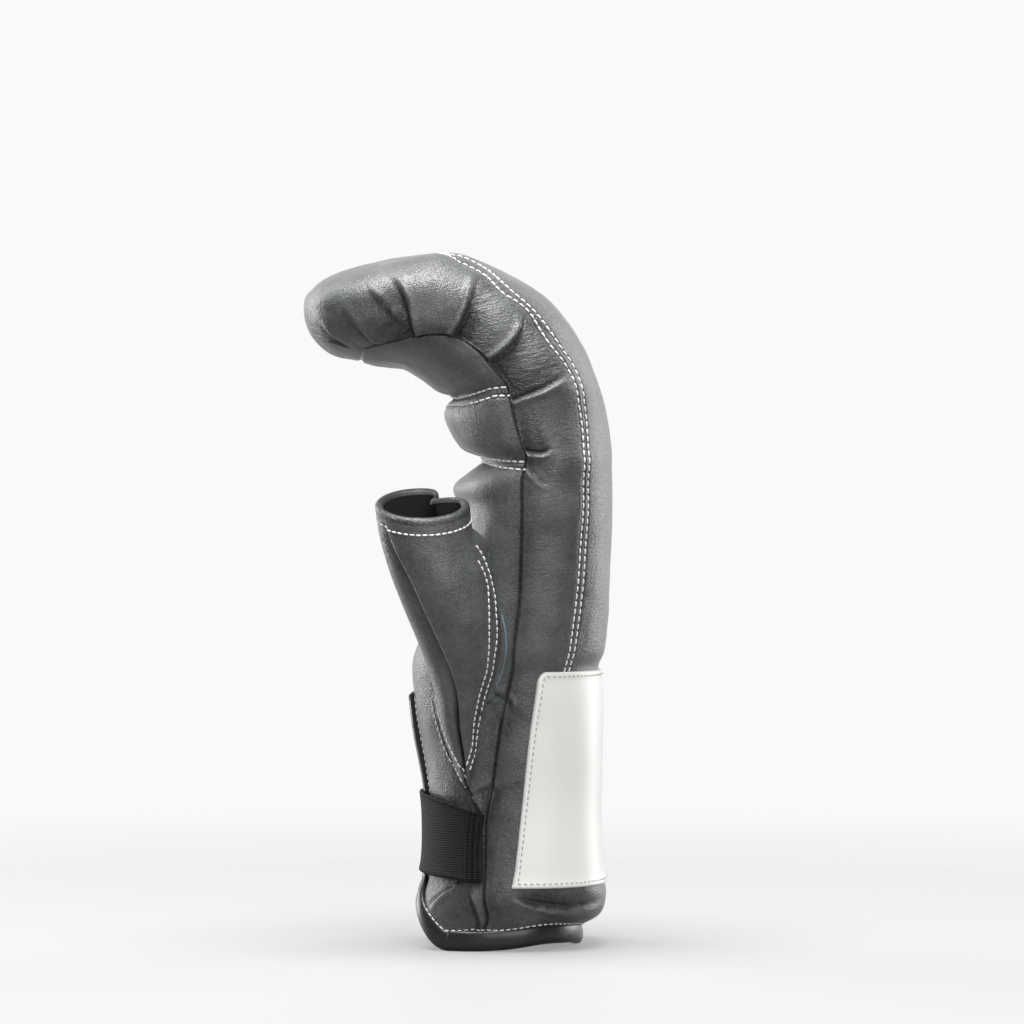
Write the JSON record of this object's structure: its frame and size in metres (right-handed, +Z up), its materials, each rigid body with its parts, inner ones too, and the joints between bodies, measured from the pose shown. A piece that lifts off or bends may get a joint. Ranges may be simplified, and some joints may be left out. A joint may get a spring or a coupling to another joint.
{
  "type": "bag glove",
  "caption": "Padded leather bag glove for the right hand, fingers curled, with an open thumb sleeve, elastic palm slit and bare wrist patch, standing on its cuff.",
  "frame": {"origin": "on the floor under the middle of the glove's bounding box, with the glove standing on its cuff", "axes": "+Z up from the cuff to the knuckles, +X towards the back of the hand, -X the way the fingers curl, -Y the thumb side"},
  "size_m": [0.12, 0.124, 0.2698],
  "materials": {
    "leather": "satin grey grain leather",
    "patch": "smooth white coated leather",
    "elastic": "ribbed black elastic webbing",
    "edging": "glossy black rolled leather"
  },
  "bodies": {
    "root": {"back_pad": "leather", "side_leather": "leather", "palm_panel": "leather", "thumb_front_panel": "leather", "thumb_inner_panel": "leather", "wrist_patch": "patch", "wrist_elastic": "elastic", "hem_edging": "edging", "slit_edging": "edging"}
  },
  "joints": []
}
